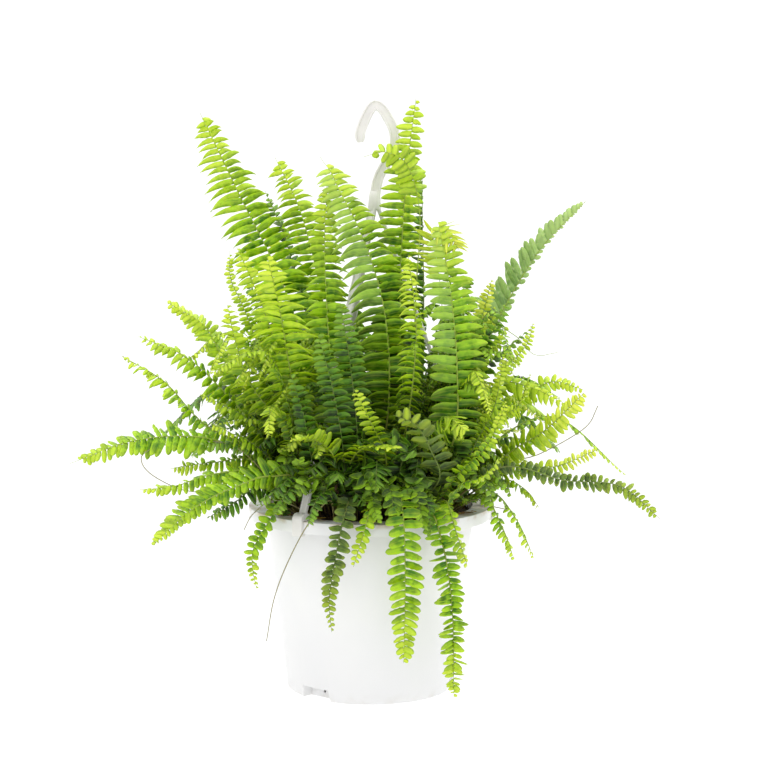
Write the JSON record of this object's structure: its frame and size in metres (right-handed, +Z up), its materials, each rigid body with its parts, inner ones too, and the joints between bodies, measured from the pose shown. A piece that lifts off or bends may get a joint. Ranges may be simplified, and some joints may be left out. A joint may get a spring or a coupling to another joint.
{
  "type": "potted sword fern in a hanging pot",
  "caption": "Sword fern with arching feathery fronds in a tapered white pot, hung by a moulded three-armed hanger with an open hook.",
  "frame": {"origin": "the middle of the pot's flat underside", "axes": "+Z up through the pot and the hook, -Y towards the side where the longest fronds hang over the lip, +X to the right seen from there"},
  "size_m": [0.4902, 0.3407, 0.508],
  "materials": {
    "pot_white": "satin",
    "hanger_white": "satin",
    "soil_dark": "matte",
    "frond_fresh": "satin",
    "frond_mid": "satin",
    "frond_deep": "satin",
    "frond_young": "satin",
    "runner_stem": "matte"
  },
  "bodies": {
    "root": {"back_spray_1": "frond_mid", "back_spray_2": "frond_deep", "back_spray_3": "frond_mid", "back_spray_4": "frond_deep", "back_spray_5": "frond_mid", "back_spray_6": "frond_deep", "hanger": "hanger_white", "hanging_frond_1": "frond_mid", "hanging_frond_2": "frond_deep", "hanging_frond_3": "frond_fresh", "hanging_frond_4": "frond_fresh", "hanging_frond_5": "frond_fresh", "hanging_frond_6": "frond_mid", "hanging_frond_7": "frond_mid", "hanging_frond_8": "frond_fresh", "hanging_frond_9": "frond_mid", "hanging_runner": "runner_stem", "inner_frond_1": "frond_fresh", "inner_frond_2": "frond_young", "inner_frond_3": "frond_fresh", "inner_frond_4": "frond_deep", "left_frond_1": "frond_fresh", "left_frond_2": "frond_mid", "left_frond_3": "frond_deep", "left_frond_4": "frond_fresh", "left_frond_5": "frond_mid", "left_frond_6": "frond_fresh", "left_frond_7": "frond_mid", "left_frond_8": "frond_deep", "low_spray_1": "frond_deep", "low_spray_2": "frond_deep", "low_spray_3": "frond_deep", "low_spray_4": "frond_deep", "pot": "pot_white", "right_frond_1": "frond_mid", "right_frond_10": "frond_young", "right_frond_11": "frond_deep", "right_frond_2": "frond_young", "right_frond_3": "frond_young", "right_frond_4": "frond_mid", "right_frond_5": "frond_fresh", "right_frond_6": "frond_young", "right_frond_7": "frond_deep", "right_frond_8": "frond_mid", "right_frond_9": "frond_deep", "right_runner": "runner_stem", "soil": "soil_dark", "upper_frond_1": "frond_mid", "upper_frond_10": "frond_mid", "upper_frond_11": "frond_young", "upper_frond_12": "frond_fresh", "upper_frond_13": "frond_fresh", "upper_frond_2": "frond_fresh", "upper_frond_3": "frond_deep", "upper_frond_4": "frond_fresh", "upper_frond_5": "frond_mid", "upper_frond_6": "frond_fresh", "upper_frond_7": "frond_deep", "upper_frond_8": "frond_deep", "upper_frond_9": "frond_young"}
  },
  "joints": []
}
